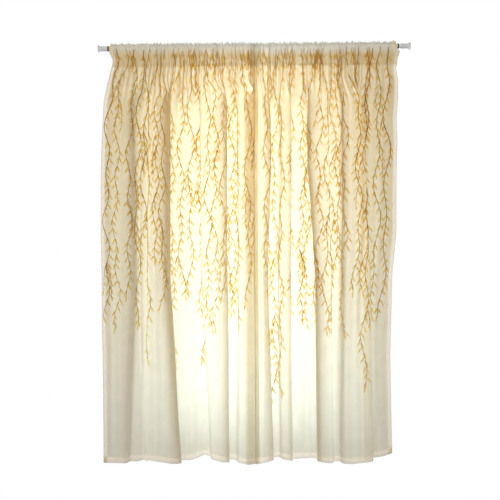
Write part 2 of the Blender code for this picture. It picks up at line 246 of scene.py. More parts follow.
# Between which heights the pocket opens and closes, and is drawn in and lowered by a thinner tube
POCKET_OPENS = (-SEAM_DROP, -0.055)
POCKET_CLOSES = (0.004, 0.0148)
POCKET_DRAWN_IN = (-0.06, -0.02)
POCKET_LOWERED = (-0.02, 0.004)

# Heading
HEADING_TOP = 0.0135
HEADING_PULLED_AT = 0.018
HEADING_UNEVENNESS = 0.0046
HEADING_CRINKLE = 0.0034
HEADING_SHARES = (0.3, 0.55, 0.8, 0.95)
HEADING_SWING = 0.5
HEADING_CLOSING = 4
HEADING_DROP = 0.008
HEADING_LAYERS = 0.6
FRAYED_EDGE = 0.0007
CRINKLE_CLOTH = 0.0180
CRINKLE_PACE = 1.7
CRINKLE_WARP = 4.0
FRILL_SHARES = (0.7, 0.45)
FRILL_WARP = 3.0

PANELS = table(
    "name folds curled tube_radius outer inner phase seed",
    ("left", LEFT_FOLDS, True, OUTER_TUBE_RADIUS, "left_outer", "left_inner", 0.0, 11),
    ("right", RIGHT_FOLDS, False, INNER_TUBE_RADIUS, "right_outer", "right_inner", 1.7, 23),
)

# Soft creases and swells laid on the hanging cloth one by one: where across the flat cloth, from
# which drop to which, how wide and how far back (+) or forward (-)
CREASES = table(
    "panel across top bottom width depth",
    ("left", 0.045, 0.25, 1.95, 0.012, 0.0030),
    ("left", 0.100, 0.60, 1.90, 0.030, -0.0050),
    ("left", 0.205, 0.20, 1.60, 0.006, -0.0040),
    ("left", 0.330, 0.90, 1.95, 0.025, 0.0050),
    ("left", 0.470, 0.30, 1.20, 0.010, -0.0040),
    ("left", 0.560, 1.00, 1.95, 0.014, 0.0050),
    ("left", 0.880, 0.40, 1.90, 0.012, -0.0030),
    ("right", 0.030, 0.30, 1.90, 0.010, -0.0040),
    ("right", 0.330, 0.60, 1.95, 0.020, 0.0060),
    ("right", 0.420, 0.25, 1.30, 0.009, 0.0040),
    ("right", 0.640, 0.80, 1.95, 0.016, -0.0050),
    ("right", 0.745, 0.30, 1.40, 0.012, -0.0050),
    ("right", 0.930, 0.25, 1.85, 0.014, 0.0040),
)
CREASE_BEGINS_OVER = 0.15
CREASE_ENDS_OVER = 0.10
CREASE_WANDER = 0.006
WANDER_PACE = 2.3
WANDER_START = 9.0
RIPPLE_CLOTH = 0.0135
RIPPLE_DEPTH = 0.0011
RIPPLE_WARP = 5.0
RIPPLE_WARP_PACE = 21.0
RIPPLES_FADE = (0.10, 0.42)

# Print: stems
SPRIG_SPACING = 0.044
SPRIG_JITTER = 0.22
SPRIG_LENGTHS = ((0.85, 1.10), (1.15, 1.35), (1.45, 1.68))
SPRIG_SHARES = (0.14, 0.54, 0.32)
OUTER_SHARES = (0.15, 0.85, 0.0)
OUTER_REACH = 0.18
OUTER_BARK = (0.0, 0.35)
INNER_BARK = (0.45, 1.0)
DARK_BARK_REACH = 0.30
PRINT_TOPS = (0.003, 0.014)
STEM_WIDTHS = (0.0018, 0.0032)
STEM_TAPER = 0.55
STEM_STEP = 0.009
STEM_WAVES = table(
    "swing shortest longest",
    (0.011, 0.22, 0.32),
    (0.008, 0.42, 0.60),
)

# Print: twigs on the stems, whose places are counted in stem steps, and short ones by themselves
TWIG_COUNTS = (1, 4)
TWIG_CLEAR_OF_TOP = 12
TWIG_CLEAR_OF_TIP = 20
TWIG_LENGTHS = (0.07, 0.16)
TWIG_REACH = 0.020
TWIG_CURVE = 0.035
TWIG_SHARE = 0.6
TWIG_LEAF_SCALE = 0.8
TOP_TWIGS = 22
TOP_TWIG_STARTS = (0.004, 0.020)
TOP_TWIG_LENGTHS = (0.05, 0.11)

# Print: leaves
LEAF_LENGTH = 0.035
LEAF_WIDTH = 0.0074
LEAF_PITCH = 0.040
LEAF_BEND = 0.10
LEAF_ANGLES = (9, 30)
LEAF_OFFSETS = (0.15, 0.50)
LEAF_SPACINGS = (0.80, 1.20)
LEAF_LENGTHS = (0.75, 1.20)
LEAF_WIDTHS = (0.78, 1.15)
FIRST_LEAVES = (0.006, 0.020)
LAST_LEAF_CLEAR = 0.012
STALK = 0.0035
SPRIG_TONES = (0.2, 0.8)
TONE_SPREAD = 0.3
TIP_LEAF_ANGLE = 18
TIP_LEAF_SCALE = 1.1
LEAF_ROWS = 7
LEAF_COLUMNS = np.array([-1.0, 0.0, 1.0])
LEAF_BELLY = 0.85
LEAF_FULLNESS = 0.8
LEAF_STALK_WIDTH = 0.10
LEAF_TIP_WIDTH = 0.05
PRINT_THICKNESS = 0.0013
PRINT_MARGIN = 0.003

# Sewing; a stitch is a strip between two ends, one unit long and one wide
STITCH_LENGTH = 0.0030
STITCH_PITCH = 0.0042
STITCH_PROUD = 0.00030
STITCH_ENDS = np.array([[-0.5, -0.5], [0.5, 0.5]])
THREAD_WIDTH = 0.00045
THREAD_TONE = 0.5
SEAM_STITCH_DROP = SEAM_DROP + 0.0005
HEADING_STITCH_DROP = -0.0150
HEM_STITCH_DROP = HEM_LINE - HEM_TURN + 0.003
SIDE_STITCH_LINE = SIDE_TURN - 0.0015

# Colours, as shares of the cloth's length from its hem, or of the print's tones
# The ground's colours: a cream that grows warmer up the cloth with painted warm light, and a plain pale
# beige over the rod and heading
GROUND_AND_PAINTED_LIGHT = table(
    "position colour",
    (0.10, "#f0ebdb"),
    (0.45, "#f1e7ce"),
    (0.85, "#f0e0bc"),
    (0.915, "#f0e0bc"),
    (0.932, "#f8f7f4"),
)
LEAF_INK = table(
    "position colour",
    (0.0, "#fff2ac"),
    (0.5, "#ffea98"),
    (1.0, "#ffdf82"),
)
STEM_INK = table(
    "position colour",
    (0.0, "#a4723a"),
    (0.5, "#cc9c60"),
    (1.0, "#e0bc84"),
)
LEAF_ALPHA = 0.38
STEM_ALPHA = 0.44
INK_GLOW = 0.6
INK_ROUGHNESS = 0.75
INK_MOTTLE = 160.0
INK_SHADES = (0.82, 1.08)
# Painted light: the doubled hems' paler colour, and how far they are drawn see-through
HEM_PAINTED_LIGHT = "#fff8ea"
HEM_CLEARNESS = 0.42
VOILE_ALPHA = 0.50
VOILE_GLOW = 0.45
VOILE_ROUGHNESS = 0.80
SLUB_SCALE = 22.0
SLUB_SHADES = (0.94, 1.04)
CLOTH_SPECULAR = 0.25
HARD_SHADES = (0.94, 1.03)
HARD_GRAIN_DEPTH = 0.0004

# The yarns lie 0.25 mm apart; they are drawn at 1.2 mm, the finest that a close view shows
WEAVE_PITCH = 0.0012
WEAVE_SCALE = 1 / WEAVE_PITCH / 6.2832
WEAVE_BUMP = 0.2
WEAVE_DEPTH = 0.0003

# Picture
CAMERA_DISTANCE = 3.20
CAMERA_ALONG = 0.711
CAMERA_HEIGHT = -0.962
CAMERA_ROLL = math.radians(0.55)
PICTURE_WIDTH = 2.375
SENSOR_WIDTH = 36.0
FLOOR_HEIGHT = -2.06
FLOOR_REACH = 12.0
WHITE = (1, 1, 1, 1)
STUDIO_LIGHT = 0.40
STUDIO_BACKGROUND = 1.0

# Soft boxes: a cool one shines through the cloth's middle, a warm one lights its front
LAMPS = table(
    "name place aim size power tint",
    ("back_box", (0.728, 0.30, -0.93), (0.728, 0.0, -0.93), (0.85, 1.75), 17.0, (0.72, 0.87, 1)),
    ("front_box", (0.45, -3.4, 0.3), (0.70, 0.0, -0.80), (3.0, 2.2), 72.0, (1, 0.86, 0.60)),
)

ClothRow = namedtuple("ClothRow", "points wrong drop")
Gathered = namedtuple("Gathered", "across gathers ripples frills frays narrower")
Surface = namedtuple("Surface", "panel points wrong lengths front drops")
Stem = namedtuple("Stem", "along drops width bark")
Leaf = namedtuple("Leaf", "along drop angle length width tone")
Patch = namedtuple("Patch", "along drop behind tone")


def linear(hex_colour):
    """An sRGB hex colour as linear red, green and blue."""
    values = [int(hex_colour[i:i + 2], 16) / 255 for i in (1, 3, 5)]
    return tuple(v / 12.92 if v <= 0.04045 else ((v + 0.055) / 1.055) ** 2.4 for v in values)


def smooth_step(value, low, high):
    """Rises from 0 at low to 1 at high."""
    share = np.clip((value - low) / (high - low), 0.0, 1.0)
    return share * share * (3.0 - 2.0 * share)


def at_height(rows, column, height):
    """Reads a table of rows with a height column, lowest row first."""
    return np.interp(height, [row.height for row in rows], [getattr(row, column) for row in rows])


def fold_progress(turn):
    """How far a fold's cloth gets along the rod, as a share of its length."""
    places = (np.arange(FOLD_SAMPLES) + 0.5) / FOLD_SAMPLES
    return np.mean(np.cos(turn * np.sin(np.pi * places) ** 2))


def unevenness(number, phase, waves=UNEVEN_WAVES):
    """A steady irregular value, between about -1 and 1 or -1.7 and 1.7, at each number."""
    return sum(wave.share * np.sin(wave.pace * number + wave.start + wave.phases * phase)
               for wave in waves)


def gather_number(panel, along):
    """Counts gathers along the flat width; they are drawn up unevenly, some wide and some narrow."""
    number = along * HALF_GATHERS / FLAT_WIDTH
    return number + GATHER_WARP * unevenness(number, panel.phase, SPACING_WAVES)


def from_outer_edge(panel, along):
    """A flat place's distance from the panel's outer edge."""
    return along if panel.outer == "left_outer" else FLAT_WIDTH - along


def gather_share(panel, along):
    """The cloth is drawn up less near the panel's outer edge, where it lies nearly flat."""
    return np.interp(from_outer_edge(panel, along), FLATTER_FROM_OUTER, FLATTER_SHARE)


def panel_edges(panel, height):
    """The panel's left and right edge along the rod at a height."""
    edges = sorted((at_height(EDGES, panel.outer, height), at_height(EDGES, panel.inner, height)))
    return edges[0], edges[1]


def cloth_turns(panel, height, strength, along):
    """The cloth's direction at each length along its flat width, at one height."""
    drop = -height
    folded = smooth_step(drop, FOLDS_BEGIN, FOLDS_FULL)
    gathered = 1.0 - (1.0 - GATHER_LEFT_BELOW) * smooth_step(drop, SEAM_DROP, GATHERS_END)
    number = gather_number(panel, along)
    gather_turn = strength * gathered * GATHER_TURN * gather_share(panel, along)
    gather_turn = gather_turn * (1.0 + GATHER_UNEVENNESS * unevenness(np.floor(number), panel.phase))
    turns = gather_turn * np.sin(np.pi * number)
    gather_progress = np.mean(np.cos(turns))
    left, _ = panel_edges(panel, height)
    cloth_used = 0.0
    rod_used = 0.0
    side = 1
    for fold in panel.folds:
        turn = np.radians(fold.turn) * folded * strength
        middle = np.interp(height, FOLD_HEIGHTS, (fold.hem, fold.middle, fold.upper)) - left
        progress = fold.cloth * fold_progress(turn)
        centre = (middle - rod_used - progress / 2) / gather_progress + cloth_used + fold.cloth / 2
        inside = np.clip((along - centre) / fold.cloth + 0.5, 0.0, 1.0)
        turns = turns + side * turn * np.sin(np.pi * inside) ** 2
        cloth_used += fold.cloth
        rod_used += progress
        side = -side
    if panel.curled:
        start = FLAT_WIDTH - CURL_TAIL - CURL_CLOTH
        turns = turns + CURL_TURN * folded * smooth_step(along, start, start + CURL_CLOTH)
    return turns


@lru_cache(maxsize=None)
def fitted_section(panel, height):
    """The cloth's line with its turns made as strong as fits it between the panel's edges."""
    step = FLAT_WIDTH / SECTION_STEPS
    left, right = panel_edges(panel, height)
    weak, strong = FOLD_STRENGTHS
    for _ in range(FITTING_STEPS):
        strength = (weak + strong) / 2
        turns = cloth_turns(panel, height, strength, FINE_ALONG)
        middle_turns = (turns[1:] + turns[:-1]) / 2
        across = np.concatenate(([0.0], np.cumsum(np.cos(middle_turns) * step)))
        if np.ptp(across) > right - left:
            weak = strength
        else:
            strong = strength
    deep = np.concatenate(([0.0], np.cumsum(np.sin(middle_turns) * step)))
    across = left + across - across.min()
    deep = deep - np.polyval(np.polyfit(across, deep, 1), across)
    return across, deep


def section(panel, height):
    """The cloth's line across the panel at a height: along the rod and in depth, finely stepped.
    Below the seam the line passes evenly from its gathers to its folds."""
    if not SETTLING_BEGINS < -height < SETTLING_ENDS:
        return fitted_section(panel, height)
    share = smooth_step(-height, SETTLING_BEGINS, SETTLING_ENDS)
    above = fitted_section(panel, -SETTLING_BEGINS)
    below = fitted_section(panel, -SETTLING_ENDS)
    across, deep = [(1.0 - share) * high + share * low for high, low in zip(above, below)]
    left, right = panel_edges(panel, height)
    across = left + (across - across.min()) * (right - left) / np.ptp(across)
    return across, deep


def gather_wave(panel, along):
    """How far the gathered cloth stands behind (+) or in front of (-) its middle."""
    number = gather_number(panel, along)
    depth = GATHER_DEPTH * (1.0 + GATHER_UNEVENNESS * unevenness(number, panel.phase + DEPTH_PHASE))
    return -np.cos(np.pi * number) * depth * gather_share(panel, along)


def pulled(panel, across, height):
    """Moves the cloth near the panel's outer corner as its pocket pulls it."""
    edge = across[0] if panel.outer == "left_outer" else across[-1]
    pull = at_height(CORNERS, panel.name, height)
    return across + pull * np.exp(-np.abs(across - edge) / CORNER_REACH)


def small_relief(panel, along, drop):
    """Listed creases and the gathers' fine ripples, as depth at each place of a row."""
    depth = np.zeros_like(along)
    for crease in CREASES:
        if crease.panel != panel.name:
            continue
        length = smooth_step(drop, crease.top, crease.top + CREASE_BEGINS_OVER)
        length = length * (1.0 - smooth_step(drop, crease.bottom - CREASE_ENDS_OVER, crease.bottom))
        wander = CREASE_WANDER * math.sin(WANDER_PACE * drop + WANDER_START * crease.across)
        away = (along - crease.across - wander) / crease.width
        depth = depth + crease.depth * length * np.exp(-away ** 2)
    near_top = 1.0 - smooth_step(drop, *RIPPLES_FADE)
    warp = RIPPLE_WARP * unevenness(along * RIPPLE_WARP_PACE, panel.phase)
    wave = np.sin(2 * np.pi * along / RIPPLE_CLOTH + warp)
    return depth + RIPPLE_DEPTH * near_top * wave


def front_row(panel, drop, lift=0.0, behind=0.0):
    """A row of the cloth below the pocket. One that lies behind the front has no drop."""
    across, deep = section(panel, -drop)
    settled = smooth_step(drop, SEAM_DROP, FOLDS_FULL)
    deep = settled * deep + (1.0 - settled) * gather_wave(panel, FINE_ALONG)
    across = pulled(panel, across, -drop)
    direction = np.arctan2(np.gradient(deep), np.gradient(across))[GRID_PICK]
    across = across[GRID_PICK]
    deep = deep[GRID_PICK]
    normal_x = -np.sin(direction)
    normal_y = np.cos(direction)
    relief = small_relief(panel, GRID_ALONG, drop) + behind
    share = (drop - SEAM_DROP) / (HEM_LINE - SEAM_DROP)
    hem_drop = np.interp(across, [hem.along for hem in HEM], [hem.drop for hem in HEM])
    height = -drop + share * (HEM_LINE - hem_drop) + lift
    points = np.stack((across + normal_x * relief, deep + normal_y * relief, height), axis=1)
    wrong = np.stack((normal_x, normal_y, np.zeros_like(normal_x)), axis=1)
    return ClothRow(points, wrong, drop if behind == 0.0 else None)


def gathered_cloth(panel):
    """What all the rows of a panel's pocket and heading share."""
    across, _ = section(panel, -SEAM_DROP)
    uneven = unevenness(gather_number(panel, GRID_ALONG) * CRINKLE_PACE, panel.phase)
    frills = np.sin(2 * np.pi * GRID_ALONG / CRINKLE_CLOTH + FRILL_WARP * uneven)
    frills = FRILL_SHARES[0] * uneven + FRILL_SHARES[1] * frills
    frays = np.random.default_rng(panel.seed + 1).uniform(-1.0, 1.0, len(GRID_ALONG))
    return Gathered(across, gather_wave(panel, GRID_ALONG), small_relief(panel, GRID_ALONG, 0.0),
                    frills, frays, OUTER_TUBE_RADIUS - panel.tube_radius)


def pocket_row(panel, cloth, height, side, drop):
    """A row of the pocket, in front of the rod (side -1) or behind it (+1)."""
    line = pulled(panel, cloth.across, height)[GRID_PICK]
    outside = at_height(POCKET_LINE, "outside", height)
    outside = outside - cloth.narrower * smooth_step(height, *POCKET_DRAWN_IN)
    bulge = (np.sqrt(cloth.gathers ** 2 + BULGE_SOFTNESS ** 2) + side * cloth.gathers) / 2
    opened = smooth_step(height, *POCKET_OPENS)
    closed = smooth_step(height, *POCKET_CLOSES)
    swing = HEADING_SWING * closed + 1.0 - opened
    depth = side * (outside + opened * (1.0 - closed) * bulge)
    depth = depth + swing * cloth.gathers + (1.0 - swing) * cloth.ripples
    level = height - cloth.narrower * smooth_step(height, *POCKET_LOWERED)
    points = np.stack((line, depth, np.full_like(line, level)), axis=1)
    wrong = np.zeros_like(points)
    wrong[:, 1] = -side
    return ClothRow(points, wrong, drop)


def heading_row(panel, cloth, share, side, drop):
    """A row of the ruffled heading, at a share of its height above the pocket."""
    line = pulled(panel, cloth.across, HEADING_PULLED_AT)[GRID_PICK]
    base = POCKET_TOP.height - cloth.narrower
    top = panel.tube_radius + HEADING_TOP + HEADING_UNEVENNESS * cloth.frills + FRAYED_EDGE * cloth.frays
    apart = POCKET_TOP.outside * (1.0 - share ** HEADING_CLOSING)
    crinkle = np.sin(2 * np.pi * GRID_ALONG / CRINKLE_CLOTH + CRINKLE_WARP * cloth.frills)
    swing = HEADING_SWING + (1.0 - HEADING_SWING) * share
    depth = side * apart + swing * cloth.gathers + cloth.ripples + share * HEADING_CRINKLE * crinkle
    points = np.stack((line, depth, base + share * (top - base)), axis=1)
    wrong = np.zeros_like(points)
    wrong[:, 1] = -side * HEADING_LAYERS if share < 1.0 else 0.0
    return ClothRow(points, wrong, drop)


def grid_of(panel):
    """The cloth's rows from its turned-up hem, up the front, over the rod and down to the pocket's
    seam behind it."""
    drops = np.concatenate((np.linspace(HEM_LINE, UPPER_END, LOWER_ROWS, endpoint=False),
                            np.linspace(UPPER_END, SEAM_DROP + SEAM_CLEAR, UPPER_ROWS)))
    heights = np.concatenate((
        np.linspace(-SEAM_DROP, POCKET_ROUND_FROM, POCKET_ROWS_BELOW, endpoint=False),
        np.linspace(POCKET_ROUND_FROM, POCKET_TOP.height, POCKET_ROWS_ROUND)))
    cloth = gathered_cloth(panel)
    rows = [front_row(panel, HEM_LINE, row.lift, row.gaps * LAYER_GAP) for row in HEM_ROWS]
    rows += [front_row(panel, drop) for drop in drops]
    rows += [pocket_row(panel, cloth, height, -1, -height) for height in heights]
    rows += [heading_row(panel, cloth, share, -1, -POCKET_TOP.height - HEADING_DROP * share)
             for share in HEADING_SHARES]
    rows += [heading_row(panel, cloth, share, 1, None) for share in (1.0, *HEADING_SHARES[::-1])]
    rows += [pocket_row(panel, cloth, height, 1, None) for height in heights[::-1]]
    return rows


def surface_of(panel):
    """The hung cloth as arrays to sample: points, wrong-side directions, lengths from the hem, and
    the front layer's rows with their drops, topmost first."""
    rows = grid_of(panel)
    points = np.array([row.points for row in rows])
    wrong = np.array([row.wrong for row in rows])
    front = [i for i, row in enumerate(rows) if row.drop is not None]
    drops = np.array([rows[i].drop for i in front])
    steps = np.linalg.norm(np.diff(points[:, GRID_COLUMNS // 3], axis=0), axis=1)
    lengths = np.concatenate(([0.0], np.cumsum(steps)))
    return Surface(panel, points, wrong, lengths, np.array(front)[::-1], drops[::-1])


def on_cloth(surface, along, drop, behind):
    """Places on the hung cloth for flat places: along its width, down from the rod, and behind it."""
    row = np.interp(drop, surface.drops, surface.front)
    column = np.clip(along, 0.0, FLAT_WIDTH) * GRID_COLUMNS / FLAT_WIDTH
    low_row = np.clip(np.floor(row).astype(int), 0, len(surface.points) - 2)
    low_column = np.clip(np.floor(column).astype(int), 0, GRID_COLUMNS - 1)
    up = (row - low_row)[..., None]
    right = (column - low_column)[..., None]

    def mixed(table):
        low = table[low_row, low_column] * (1 - right) + table[low_row, low_column + 1] * right
        high = table[low_row + 1, low_column] * (1 - right) + table[low_row + 1, low_column + 1] * right
        return low * (1 - up) + high * up

    wrong = mixed(surface.wrong)
    wrong = wrong / np.maximum(np.linalg.norm(wrong, axis=-1, keepdims=True), 1e-9)
    return mixed(surface.points) + wrong * np.asarray(behind)[..., None]


def finish_mesh(bm, name, material):
    """Turns a bmesh into a smooth shaded object."""
    mesh = bpy.data.meshes.new(name)
    bm.to_mesh(mesh)
    bm.free()
    mesh.materials.append(material)
    mesh.shade_smooth()
    piece = bpy.data.objects.new(name, mesh)
    bpy.context.scene.collection.objects.link(piece)
    return piece


def thicken(piece, thickness):
    """Gives a sheet its thickness, half to each side."""
    solid = piece.modifiers.new("Thickness", "SOLIDIFY")
    solid.thickness = thickness
    solid.offset = 0.0
    return piece


def add_cloth(surface, material):
    """The panel's voile as one thin sheet with its side hems and bottom hem turned in."""
    turned = np.linspace(1.0, SIDE_BEND, SIDE_COLUMNS) * SIDE_TURN
    along = np.concatenate((turned, GRID_ALONG, FLAT_WIDTH - turned[::-1]))
    side_layers = np.concatenate((np.ones(SIDE_COLUMNS), np.zeros(GRID_COLUMNS + 1), np.ones(SIDE_COLUMNS)))
    column = along * GRID_COLUMNS / FLAT_WIDTH
    low = np.clip(np.floor(column).astype(int), 0, GRID_COLUMNS - 1)
    share = (column - low)[None, :, None]
    placed = surface.points[:, low] * (1 - share) + surface.points[:, low + 1] * share
    away = surface.wrong[:, low] * (1 - share) + surface.wrong[:, low + 1] * share
    hem_layers = np.ones((len(placed), 1, 1))
    hem_layers[:len(HEM_ROWS)] = 2.0
    placed = placed + away * side_layers[None, :, None] * LAYER_GAP * hem_layers

    bm = bmesh.new()
    columns = len(along)
    bmesh.ops.create_grid(bm, x_segments=columns - 1, y_segments=len(placed) - 1, size=1.0)
    bm.verts.ensure_lookup_table()
    flat = bm.loops.layers.uv.new("flat")
    for vert in bm.verts:
        vert.co = placed[divmod(vert.index, columns)]
    for face in bm.faces:
        for loop in face.loops:
            row, column = divmod(loop.vert.index, columns)
            loop[flat].uv = (along[column], surface.lengths[row])
    return thicken(finish_mesh(bm, f"voile_{surface.panel.name}", material), VOILE_THICKNESS)


def sprig_stem(generator, place, top, length):
    """A swaying stem's line in flat places, every STEM_STEP down from its top."""
    down = np.arange(0.0, length, STEM_STEP)
    starts = [generator.uniform(0, 2 * math.pi) for _ in STEM_WAVES]
    sway = np.zeros_like(down)
    for wave, start in zip(STEM_WAVES, starts):
        wave_length = generator.uniform(wave.shortest, wave.longest)
        sway += wave.swing * np.sin(2 * np.pi * down / wave_length + start)
    return place + sway - sway[0], top + down


def add_twig(generator, stems, leaves, stem):
    """A short leafy twig that leaves a stem sideways and hangs beside it."""
    node = generator.integers(TWIG_CLEAR_OF_TOP, len(stem.along) - TWIG_CLEAR_OF_TIP)
    side = generator.choice((-1.0, 1.0))
    down = np.arange(0.0, generator.uniform(*TWIG_LENGTHS), STEM_STEP)
    out = side * TWIG_REACH * (1.0 - np.exp(-down / TWIG_CURVE))
    twig = Stem(stem.along[node] + out, stem.drops[node] + down, TWIG_SHARE * stem.width, stem.bark)
    stems.append(twig)
    add_leaves(generator, leaves, twig, TWIG_LEAF_SCALE)


def add_sprig(generator, panel, place, stems, leaves):
    """A long hanging stem with its leaves and twigs; the stems are darker near the outer edge."""
    from_outer = from_outer_edge(panel, place)
    shares = OUTER_SHARES if from_outer < OUTER_REACH else SPRIG_SHARES
    length = generator.uniform(*SPRIG_LENGTHS[generator.choice(len(SPRIG_LENGTHS), p=shares)])
    top = generator.uniform(*PRINT_TOPS)
    along, drops = sprig_stem(generator, place, top, length)
    width = generator.uniform(*STEM_WIDTHS)
    barks = OUTER_BARK if from_outer < DARK_BARK_REACH else INNER_BARK
    stem = Stem(along, drops, width, generator.uniform(*barks))
    stems.append(stem)
    add_leaves(generator, leaves, stem, 1.0)
    for _ in range(generator.integers(*TWIG_COUNTS)):
        add_twig(generator, stems, leaves, stem)


def plan_print(panel):
    """The panel's printed stems and leaves in flat places: long sprigs and short ones at the top."""
    generator = np.random.default_rng(panel.seed)
    stems = []
    leaves = []
    printed = FLAT_WIDTH - 2 * SIDE_TURN
    count = int(round(printed / SPRIG_SPACING))
    for i in range(count):
        jitter = generator.uniform(-SPRIG_JITTER, SPRIG_JITTER)
        add_sprig(generator, panel, SIDE_TURN + (i + 0.5 + jitter) * printed / count, stems, leaves)
    for _ in range(TOP_TWIGS):
        place = generator.uniform(SIDE_TURN, FLAT_WIDTH - SIDE_TURN)
        top = generator.uniform(*TOP_TWIG_STARTS)
        along, drops = sprig_stem(generator, place, top, generator.uniform(*TOP_TWIG_LENGTHS))
        twig = Stem(along, drops, TWIG_SHARE * STEM_WIDTHS[1], generator.uniform())
        stems.append(twig)
        add_leaves(generator, leaves, twig, 1.0)
    return stems, leaves


def add_leaves(generator, leaves, stem, scale):
    """Leaves down both sides of a stem, now alternate and now nearly opposite, and one at its tip."""
    tone = generator.uniform(*SPRIG_TONES)
    reach = stem.drops[-1] - stem.drops[0]
    offset = generator.uniform(*LEAF_OFFSETS) * LEAF_PITCH
    for side in (-1.0, 1.0):
        place = generator.uniform(*FIRST_LEAVES) + (offset if side > 0 else 0.0)
        while place < reach - LAST_LEAF_CLEAR:
            drop = stem.drops[0] + place
            root = np.interp(drop, stem.drops, stem.along)
            angle = side * math.radians(generator.uniform(*LEAF_ANGLES))
            place += LEAF_PITCH * generator.uniform(*LEAF_SPACINGS)
            if not SIDE_TURN < root + LEAF_LENGTH * math.sin(angle) < FLAT_WIDTH - SIDE_TURN:
                continue
            leaves.append(Leaf(
                along=root + STALK * math.sin(angle),
                drop=drop + STALK * math.cos(angle),
                angle=angle,
                length=scale * LEAF_LENGTH * generator.uniform(*LEAF_LENGTHS),
                width=scale * LEAF_WIDTH * generator.uniform(*LEAF_WIDTHS),
                tone=np.clip(tone + generator.uniform(-TONE_SPREAD, TONE_SPREAD), 0, 1)))
    leaves.append(Leaf(
        along=stem.along[-1],
        drop=stem.drops[-1],
        angle=math.radians(generator.uniform(-TIP_LEAF_ANGLE, TIP_LEAF_ANGLE)),
        length=TIP_LEAF_SCALE * scale * LEAF_LENGTH,
        width=scale * LEAF_WIDTH,
        tone=tone))


def leaf_patch(leaf):
    """A leaf's flat grid, broadest near its stalk and bent away from its stem."""
    down = np.linspace(0.0, 1.0, LEAF_ROWS)
    half = np.maximum(np.sin(np.pi * down ** LEAF_BELLY) ** LEAF_FULLNESS, LEAF_STALK_WIDTH)
    half[-1] = LEAF_TIP_WIDTH
    bend = LEAF_BEND * leaf.length * (down ** 2) * math.copysign(1.0, leaf.angle)
    local_down = (leaf.length * down)[:, None] + 0 * LEAF_COLUMNS
    local_out = (leaf.width / 2 * half)[:, None] * LEAF_COLUMNS + bend[:, None]
    flat_along = leaf.along + local_down * math.sin(leaf.angle) + local_out * math.cos(leaf.angle)
    flat_drop = leaf.drop + local_down * math.cos(leaf.angle) - local_out * math.sin(leaf.angle)
    return Patch(flat_along, flat_drop, 0.0, leaf.tone)


def stem_patch(stem):
    """A stem's flat strip, thinner towards its tip."""
    half_width = np.linspace(1.0, STEM_TAPER, len(stem.along)) * stem.width / 2
    flat_along = stem.along[:, None] + half_width[:, None] * np.array([-1.0, 1.0])
    return Patch(flat_along, stem.drops[:, None] + np.zeros((1, 2)), 0.0, stem.bark)


def stitch_patch(along, drop, wide, tall):
    """One stitch of thread, lying just proud of the cloth."""
    return Patch(along + wide * STITCH_ENDS.T, drop + tall * STITCH_ENDS, -STITCH_PROUD, THREAD_TONE)


def patch_piece(surface, name, patches, material, thickness):
    """Lays many small grids of the same width on the cloth as one piece."""
    columns = patches[0].along.shape[1]
    last_rows = np.cumsum([patch.along.shape[0] for patch in patches]) - 1
    flat_along = np.concatenate([patch.along for patch in patches])
    flat_drop = np.concatenate([patch.drop for patch in patches])
    behind = np.concatenate([np.full(patch.along.shape, patch.behind) for patch in patches])
    tones = np.concatenate([np.full(patch.along.size, patch.tone) for patch in patches])
    flat_along = np.clip(flat_along, PRINT_MARGIN, FLAT_WIDTH - PRINT_MARGIN)
    places = on_cloth(surface, flat_along, flat_drop, behind).reshape(-1, 3)
    bm = bmesh.new()
    bmesh.ops.create_grid(bm, x_segments=columns - 1, y_segments=len(flat_along) - 1, size=1.0)
    tone_layer = bm.verts.layers.float.new("tone")
    for vert, place, tone in zip(bm.verts, places, tones):
        vert.co = place
        vert[tone_layer] = tone
    # One long strip was laid; the faces that would join one patch to the next go
    ends = set(last_rows[:-1].tolist())
    bridges = [face for face in bm.faces if min(vert.index for vert in face.verts) // columns in ends]
    bmesh.ops.delete(bm, geom=bridges, context="FACES")
    return thicken(finish_mesh(bm, name, material), thickness)


def add_print(surface, leaf_material, stem_material):
    """The printed leaves and stems, each kind joined into one piece, a hair's breadth proud of
    both faces of the voile."""
    name = surface.panel.name
    stems, leaves = plan_print(surface.panel)
    leaf_piece = patch_piece(surface, f"leaf_print_{name}", [leaf_patch(leaf) for leaf in leaves],
                             leaf_material, PRINT_THICKNESS)
    stem_piece = patch_piece(surface, f"stem_print_{name}", [stem_patch(stem) for stem in stems],
                             stem_material, PRINT_THICKNESS)
    return leaf_piece, stem_piece


def add_stitches(surface, material):
    """Lockstitches along the pocket's seam, the heading's base and the hems, as short threads."""
    patches = []
    for drop in (SEAM_STITCH_DROP, HEADING_STITCH_DROP, HEM_STITCH_DROP):
        for along in np.arange(SIDE_STITCH_LINE, FLAT_WIDTH - SIDE_STITCH_LINE, STITCH_PITCH):
            patches.append(stitch_patch(along, drop, STITCH_LENGTH, THREAD_WIDTH))
    for along in (SIDE_STITCH_LINE, FLAT_WIDTH - SIDE_STITCH_LINE):
        for drop in np.arange(SEAM_DROP + STITCH_PITCH, HEM_STITCH_DROP, STITCH_PITCH):
            patches.append(stitch_patch(along, drop, THREAD_WIDTH, STITCH_LENGTH))
    return patch_piece(surface, f"stitching_{surface.panel.name}", patches, material, THREAD_WIDTH)


def add_turned(name, profile, place, faces_right, material, closed=True):
    """A piece turned about the rod's axis from a profile of (distance along, radius) points."""
    bm = bmesh.new()
    way = 1.0 if faces_right else -1.0
    corners = [bm.verts.new((place + way * along, 0.0, radius)) for along, radius in profile]
    for first, second in zip(corners, corners[1:]):
        bm.edges.new((first, second))
    if closed:
        bm.edges.new((corners[-1], corners[0]))
    bmesh.ops.spin(bm, geom=bm.verts[:] + bm.edges[:], axis=(1, 0, 0), cent=(0, 0, 0),
                   angle=2 * math.pi, steps=TURNING_STEPS, use_merge=True)
    bmesh.ops.remove_doubles(bm, verts=bm.verts[:], dist=ON_AXIS)
    bmesh.ops.recalc_face_normals(bm, faces=bm.faces[:])
    piece = finish_mesh(bm, name, material)
    piece.data.set_sharp_from_angle(angle=SHARP_EDGE)
    return piece


